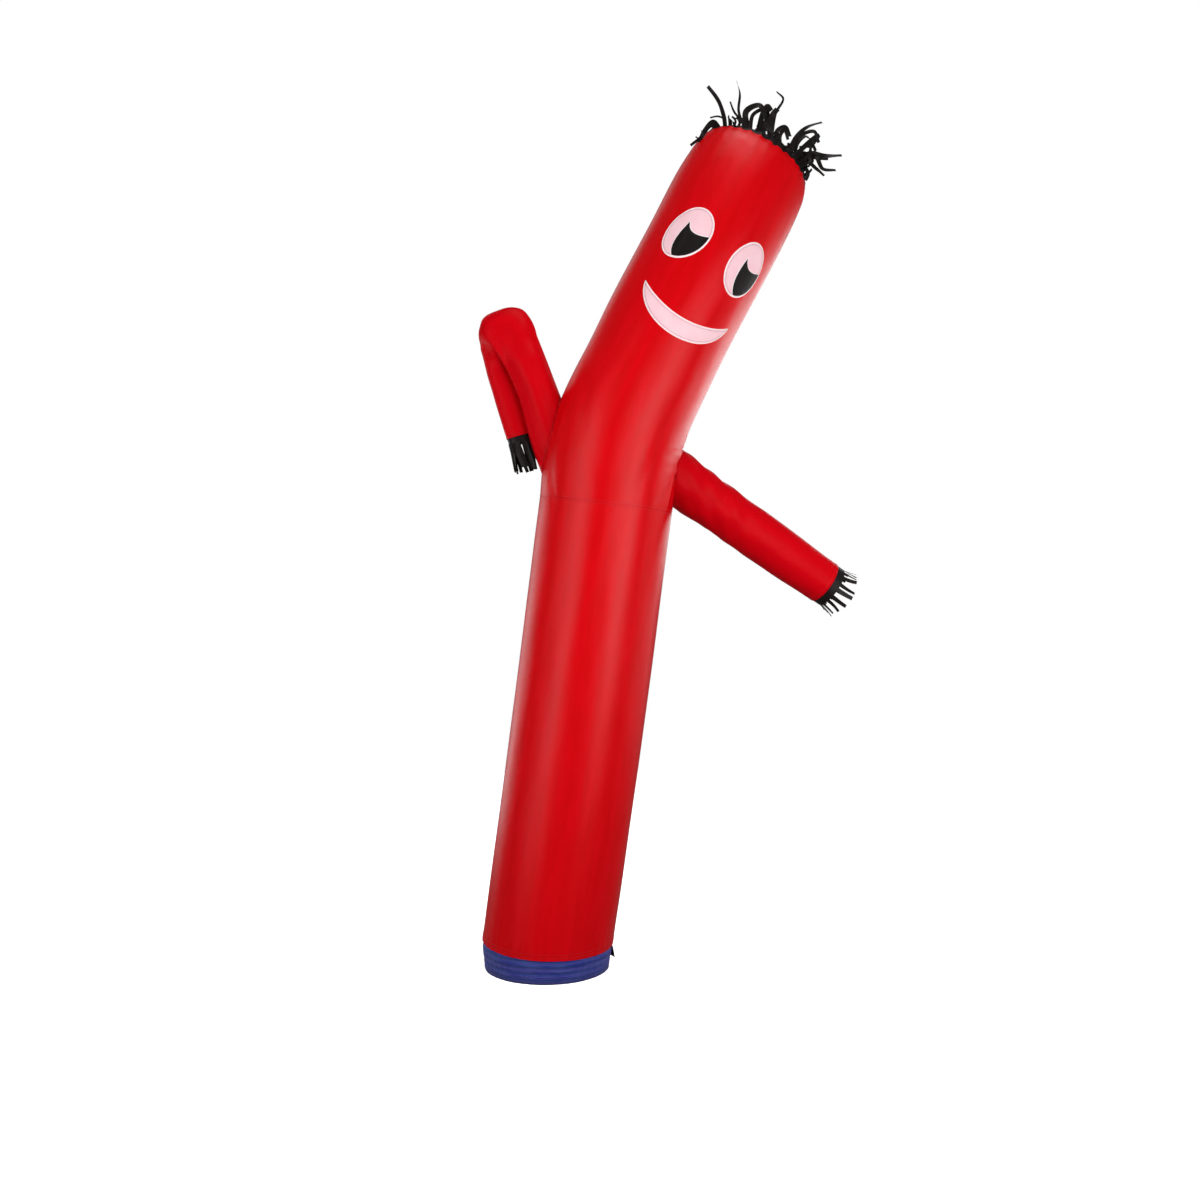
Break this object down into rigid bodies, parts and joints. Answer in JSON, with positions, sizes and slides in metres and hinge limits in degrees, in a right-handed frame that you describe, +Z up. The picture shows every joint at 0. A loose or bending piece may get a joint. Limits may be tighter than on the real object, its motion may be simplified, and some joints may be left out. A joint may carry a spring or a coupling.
{
  "type": "inflatable air dancer",
  "caption": "Cloth tube figure for a ground blower: leaning body with a smiling face, fringed hair, one folded and one reaching sleeve arm, and a strap collar at its foot.",
  "frame": {"origin": "on the floor, under the middle of the whole shape's box; the collar's middle is 0.435 m towards -X and 0.087 m towards -Y of it", "axes": "+Z up along the figure's height, +X the way that the head leans, -Y the side that the face looks to"},
  "size_m": [1.364, 0.6366, 3.0537],
  "materials": {
    "red_nylon": "satin, thin coated nylon",
    "blue_webbing": "woven webbing, stitched in rows",
    "black_nylon": "satin, thin coated nylon",
    "pale_pink_cloth": "matt, thin applied cloth"
  },
  "bodies": {
    "root": {"tube_lower": "red_nylon", "tube_upper": "red_nylon", "head": "red_nylon", "arm_left": "red_nylon", "arm_right": "red_nylon", "collar": "blue_webbing", "closing_strap": "black_nylon", "hair": "black_nylon", "fringe_left": "black_nylon", "fringe_right": "black_nylon", "eye_left": "pale_pink_cloth", "eye_right": "pale_pink_cloth", "pupil_left": "black_nylon", "pupil_right": "black_nylon", "mouth": "pale_pink_cloth"}
  },
  "joints": []
}
